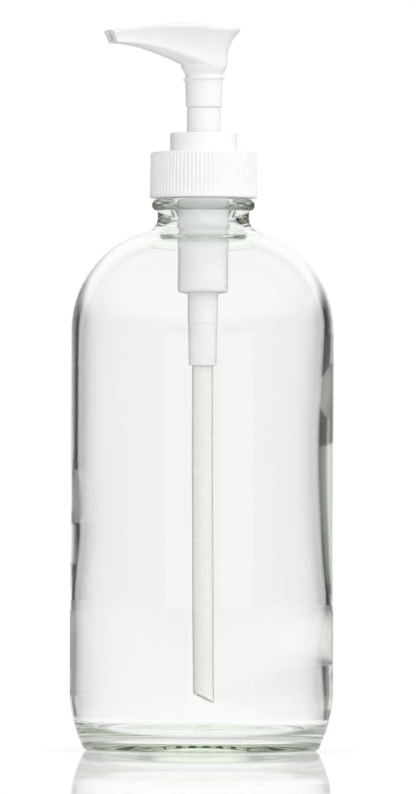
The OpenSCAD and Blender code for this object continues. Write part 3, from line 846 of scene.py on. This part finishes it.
def makeHead(h):
    steps = 48
    sections = [spoutSection(h["reach"] * i / steps) for i in range(steps + 1)]
    spout = finishMesh(sweptMesh(sections), "pumpHead")
    lowR, highR, grooveZ, padZ = h["sleeveLowR"], h["sleeveHighR"], h["grooveZ"], h["padZ"]
    outline = [Vector((0, sleeveZ)), Vector((lowR, sleeveZ))]
    outline += linePoints((lowR, sleeveZ + 0.1), (highR, grooveZ), 60)
    outline += linePoints((highR, grooveZ), (h["skirtR"], h["skirtZ"]), 6)[1:]
    for i in range(25):
        s = i / 24 * h["flareEnd"]
        radius = h["neckR"] + (h["padR"] - h["neckR"]) * flare(s)
        outline.append(Vector((radius, h["flareZ"] + (padZ - h["flareZ"]) * s)))
    outline += [Vector((h["padR"], padZ - 0.1)), Vector((h["padR"] - 0.4, padZ + 0.15))]
    outline.append(Vector((0, padZ + 0.6)))

    def shape(angle, radius, height):
        threaded = lowR - 0.03 < radius < highR + 0.01 and height < grooveZ
        return (ridgeHeight(angle, height, h["thread"]) if threaded else 0), 0

    body = finishMesh(turnedMesh(outline, 240, shape), "headBody")
    cutOrJoin(spout, body, "UNION")
    remesh = spout.modifiers.new("remesh", "REMESH")
    remesh.mode = "VOXEL"
    remesh.voxel_size = h["voxel"] * mm
    remesh.use_smooth_shade = True
    relax = spout.modifiers.new("relax", "SMOOTH")
    relax.factor = 0.5
    relax.iterations = h["smoothing"]
    bpy.context.view_layer.update()
    applyModifiers(spout)
    socket = [
        (0, sleeveZ - 1), (socketR, sleeveZ - 1), (socketR, highStem.z), (ballR, highStem.z),
        (ballR, h["roofZ"]), (h["passageR"], h["roofZ"]), (h["passageR"], h["passageZ"]), (0, h["passageZ"]),
    ]
    core = finishMesh(turnedMesh([Vector(p) for p in socket], 96), "socket")
    cutOrJoin(spout, core, "DIFFERENCE")
    near, far = h["boreFrom"], h["boreTo"]
    bore = [Vector(p) for p in ((0, near), (h["boreR"], near), (h["boreR"], far), (0, far))]
    drill = finishMesh(turnedMesh(bore, 64), "bore")
    turned = Matrix.Rotation(math.radians(-90), 4, "Y")
    drill.data.transform(Matrix.Translation((0, 0, h["spoutZ"] * mm)) @ turned)
    cutOrJoin(spout, drill, "DIFFERENCE")
    for face in spout.data.polygons:
        face.use_smooth = True
    spout.data.set_sharp_from_angle(angle=math.radians(50))
    return spout


settle(makeHead(head), satinWhite, "head", "pump_head")
print("head made")

# CAD pieces whose shape is already right
plainPieces = (
    ("inlet_ball", ballGlass, "glass_ball"),
    ("outlet_ball", ballGlass, "glass_ball"),
    ("spring_seat", satinWhite, "white_plastic"),
)
for nodeName, material, slotName in plainPieces:
    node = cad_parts[nodeName]
    node.data.materials.clear()
    node.data.materials.append(material)

# Floor: a pale polished table, faintly lit from below, that mirrors only at a low angle
floorLook = {
    "radius": 3.0, "gap": 0.04, "colour": (0.30, 0.30, 0.30), "cloudScale": 6.0, "cloudShift": 1.02,
    "roughness": 0.03, "ior": 1.5,
    "nearShine": 0.85, "farShine": 0.5, "shineFrom": 0.04, "shineTo": 0.35,
    # the foot size, its edge and the glow under it give a painted glow beneath the bottle's foot; the glow
    # rising from the foot outwards is a painted contact shadow round it
    "footR": 0.033, "footEdge": 0.004, "underGlow": 0.65,
    "contactShadowGlow": 0.5, "glow": 0.72, "glowTo": 0.05,
    "inGlass": 0.34, "dimFrom": 0.2, "dimTo": 0.5,
    "upwardGlow": 0.74, "fadeFrom": 1.0, "fadeTo": 2.8,
}


def makeFloor(look):
    bm = bmesh.new()
    bmesh.ops.create_circle(bm, cap_ends=True, radius=look["radius"] / mm, segments=96)
    floor = finishMesh(bm, "floor")
    floor.location.z = -look["gap"] * mm
    material = bpy.data.materials.new("paleFloor")
    material.use_nodes = True
    tree = material.node_tree
    tree.nodes.clear()
    output = tree.nodes.new("ShaderNodeOutputMaterial")
    path = tree.nodes.new("ShaderNodeLightPath")

    def glowing(strength):
        node = tree.nodes.new("ShaderNodeEmission")
        setInput(tree, node, "Strength", strength)
        return node

    def mixed(factor, first, second):
        node = tree.nodes.new("ShaderNodeMixShader")
        tree.links.new(factor, node.inputs["Fac"])
        tree.links.new(first.outputs[0], node.inputs[1])
        tree.links.new(second.outputs[0], node.inputs[2])
        return node

    away = tree.nodes.new("ShaderNodeVectorMath")
    away.operation = "LENGTH"
    tree.links.new(tree.nodes.new("ShaderNodeTexCoord").outputs["Object"], away.inputs[0])
    distance = away.outputs["Value"]
    under = rangeResult(tree, distance, 0, 1, look["footR"] - look["footEdge"], look["footR"])

    # A diffuse body with its own glow, which is painted light: an even painted glow under the foot, and a
    # painted contact shadow round it where the glow is weakest
    cloud = noiseResult(tree, look["cloudScale"], 3.0)
    body = tree.nodes.new("ShaderNodeBsdfDiffuse")
    lighter = [c * look["cloudShift"] for c in look["colour"]]
    setInput(tree, body, "Color", colourResult(tree, cloud, look["colour"], lighter))
    contactShadowRamp = rangeResult(tree, distance, look["contactShadowGlow"], look["glow"], look["footR"], look["glowTo"])
    beneath = mathResult(tree, "MULTIPLY", mathResult(tree, "SUBTRACT", 1.0, under), look["underGlow"])
    glow = glowing(mathResult(tree, "MULTIPLY_ADD", contactShadowRamp, under, beneath))
    both = tree.nodes.new("ShaderNodeAddShader")
    tree.links.new(body.outputs[0], both.inputs[0])
    tree.links.new(glow.outputs[0], both.inputs[1])

    # The polish on top of it
    shine = tree.nodes.new("ShaderNodeBsdfGlossy")
    shine.inputs["Color"].default_value = (1, 1, 1, 1)
    rough = rangeResult(tree, cloud, look["roughness"] * 0.8, look["roughness"] * 1.2)
    setInput(tree, shine, "Roughness", rough)
    fresnel = tree.nodes.new("ShaderNodeFresnel")
    fresnel.inputs["IOR"].default_value = look["ior"]
    ends = look["nearShine"], look["farShine"], look["shineFrom"], look["shineTo"]
    amount = mathResult(tree, "MULTIPLY", rangeResult(tree, distance, *ends), under)
    polished = mixed(mathResult(tree, "MULTIPLY", amount, fresnel.outputs[0]), both, shine)

    # Far away the floor fades into the white backdrop
    farAway = rangeResult(tree, distance, 0, 1, look["fadeFrom"], look["fadeTo"])
    faded = mixed(farAway, polished, glowing(1.0))

    # It is dimmer where it shows as a reflection, and gives less light back to the underside of the spout
    reflected = mathResult(tree, "GREATER_THAN", path.outputs["Glossy Depth"], 0.5)
    outside = rangeResult(tree, distance, 0, 1, look["dimFrom"], look["dimTo"])
    dimmed = mixed(mathResult(tree, "MULTIPLY", reflected, outside), faded, glowing(look["inGlass"]))
    scattered = mathResult(tree, "GREATER_THAN", path.outputs["Diffuse Depth"], 0.5)
    final = mixed(scattered, dimmed, glowing(look["upwardGlow"]))
    tree.links.new(final.outputs[0], output.inputs["Surface"])
    floor.data.materials.append(material)


makeFloor(floorLook)

# Studio: a soft all-round light for plastic and floor, and a bright backdrop with dark sides for the glass
studio = {
    "even": 0.71, "lean": 0.77, "keyRight": 0.50, "keyBack": -0.75, "keyUp": 0.43, "throughGlass": 1.25,
    "backdropInner": 9.0, "backdropOuter": 22.0,  # degrees to either side of straight ahead
    "darkSide": 0.05, "flagSide": 0.34, "flagInner": 50.0, "flagOuter": 70.0,
    "ceiling": 0.45, "ceilingFrom": 0.15, "ceilingTo": 0.6, "flagTop": 0.13, "flagFade": 2.5,
    "panels": 4.0, "panelEdge": -0.85, "panelMiddle": 0.05,
}


def makeStudio(s):
    world = bpy.data.worlds.new("studio")
    bpy.context.scene.world = world
    world.use_nodes = True
    world.cycles.sampling_method = "NONE"
    tree = world.node_tree
    tree.nodes.clear()
    output = tree.nodes.new("ShaderNodeOutputWorld")
    background = tree.nodes.new("ShaderNodeBackground")
    tree.links.new(background.outputs[0], output.inputs[0])
    path = tree.nodes.new("ShaderNodeLightPath")
    direction = tree.nodes.new("ShaderNodeTexCoord").outputs["Generated"]
    split = tree.nodes.new("ShaderNodeSeparateXYZ")
    tree.links.new(direction, split.inputs[0])
    x, y, z = split.outputs
    forward, right = lookVectors(cameraSetup)

    def towards(vector):
        node = tree.nodes.new("ShaderNodeVectorMath")
        node.operation = "DOT_PRODUCT"
        tree.links.new(direction, node.inputs[0])
        node.inputs[1].default_value = vector
        return node.outputs["Value"]

    def step(value, low, high):
        node = tree.nodes.new("ShaderNodeMapRange")
        node.interpolation_type = "SMOOTHSTEP"
        tree.links.new(value, node.inputs["Value"])
        node.inputs["From Min"].default_value, node.inputs["From Max"].default_value = low, high
        return node.outputs["Result"]

    def choose(factor, whenNo, whenYes):
        node = tree.nodes.new("ShaderNodeMix")
        node.data_type = "FLOAT"
        setInput(tree, node, "Factor", factor)
        setInput(tree, node, "A", whenNo)
        setInput(tree, node, "B", whenYes)
        return node.outputs["Result"]

    def cosine(degrees):
        return math.cos(math.radians(degrees))

    def deeper(depth):
        return mathResult(tree, "GREATER_THAN", path.outputs[depth], 0.5)

    key = (right * s["keyRight"] + forward * s["keyBack"] + Vector((0, 0, s["keyUp"]))).normalized()
    soft = mathResult(tree, "MULTIPLY_ADD", towards(key), s["lean"], s["even"])

    # Level direction, so that the backdrop is an upright strip
    squares = mathResult(tree, "MULTIPLY", x, x), mathResult(tree, "MULTIPLY", y, y)
    flat = mathResult(tree, "SQRT", mathResult(tree, "ADD", *squares))
    ahead = mathResult(tree, "DIVIDE", towards(forward), flat)
    inner, outer = cosine(s["backdropInner"]), cosine(s["backdropOuter"])
    flags = step(ahead, cosine(s["flagOuter"]), cosine(s["flagInner"]))
    strip = choose(step(ahead, outer, inner), choose(flags, s["flagSide"], s["darkSide"]), 1.0)
    level = step(z, s["flagTop"], s["flagTop"] * s["flagFade"])
    above = choose(step(towards(forward), s["ceilingFrom"], s["ceilingTo"]), s["ceiling"], 1.0)
    flagged = choose(level, strip, above)

    # Bright panels all round with dark gaps, for light that comes through the glass with no reflection
    start = math.atan2(forward.y, forward.x)
    turned = mathResult(tree, "SUBTRACT", mathResult(tree, "ARCTAN2", y, x), start)
    fold = mathResult(tree, "COSINE", mathResult(tree, "MULTIPLY", turned, s["panels"]))
    panels = choose(step(fold, s["panelEdge"], s["panelMiddle"]), s["darkSide"], 1.0)
    clear = choose(level, panels, 1.0)

    # Each kind of ray sees its own light
    through = choose(deeper("Glossy Depth"), clear, flagged)
    mirrored = choose(path.outputs["Is Transmission Ray"], flagged, through)
    glossy = choose(step(ahead, outer, inner), soft, 1.0)
    smooth = choose(path.outputs["Is Singular Ray"], glossy, mirrored)
    boosted = mathResult(tree, "MULTIPLY", soft, choose(deeper("Transmission Depth"), 1.0, s["throughGlass"]))
    diffuse = choose(deeper("Diffuse Depth"), smooth, boosted)
    tree.links.new(choose(path.outputs["Is Camera Ray"], diffuse, 1.0), background.inputs["Strength"])
    background.inputs["Color"].default_value = (1, 1, 1, 1)


makeStudio(studio)


# Two soft boxes in front, seen only as reflections
softBoxes = {
    "distance": 800.0,
    "low": 31.0,
    "high": 146.0,
    "spans": ((-32.0, -4.0), (14.0, 45.0)),  # degrees round from the camera, negative to its left
    "colour": (1.0, 0.985, 0.96),
    "strength": 1.1,
}


def makeSoftBoxes(b):
    forward, right = lookVectors(cameraSetup)
    material = bpy.data.materials.new("softBoxCloth")
    material.use_nodes = True
    tree = material.node_tree
    tree.nodes.clear()
    output = tree.nodes.new("ShaderNodeOutputMaterial")
    glow = tree.nodes.new("ShaderNodeEmission")
    glow.inputs["Color"].default_value = (*b["colour"], 1)
    glow.inputs["Strength"].default_value = b["strength"]
    tree.links.new(glow.outputs[0], output.inputs["Surface"])
    for number, (start, end) in enumerate(b["spans"]):
        bm = bmesh.new()
        columns = []
        for i in range(9):
            turn = math.radians(start + (end - start) * i / 8)
            place = (right * math.sin(turn) - forward * math.cos(turn)) * b["distance"]
            columns.append([bm.verts.new((place.x, place.y, z)) for z in (b["low"], b["high"])])
        for first, second in zip(columns, columns[1:]):
            bm.faces.new((first[0], second[0], second[1], first[1]))
        card = finishMesh(bm, f"softBox{number}")
        card.data.materials.append(material)
        card.visible_camera = False
        card.visible_diffuse = False
        card.visible_shadow = False
        card.visible_transmission = False


makeSoftBoxes(softBoxes)
print("studio made")
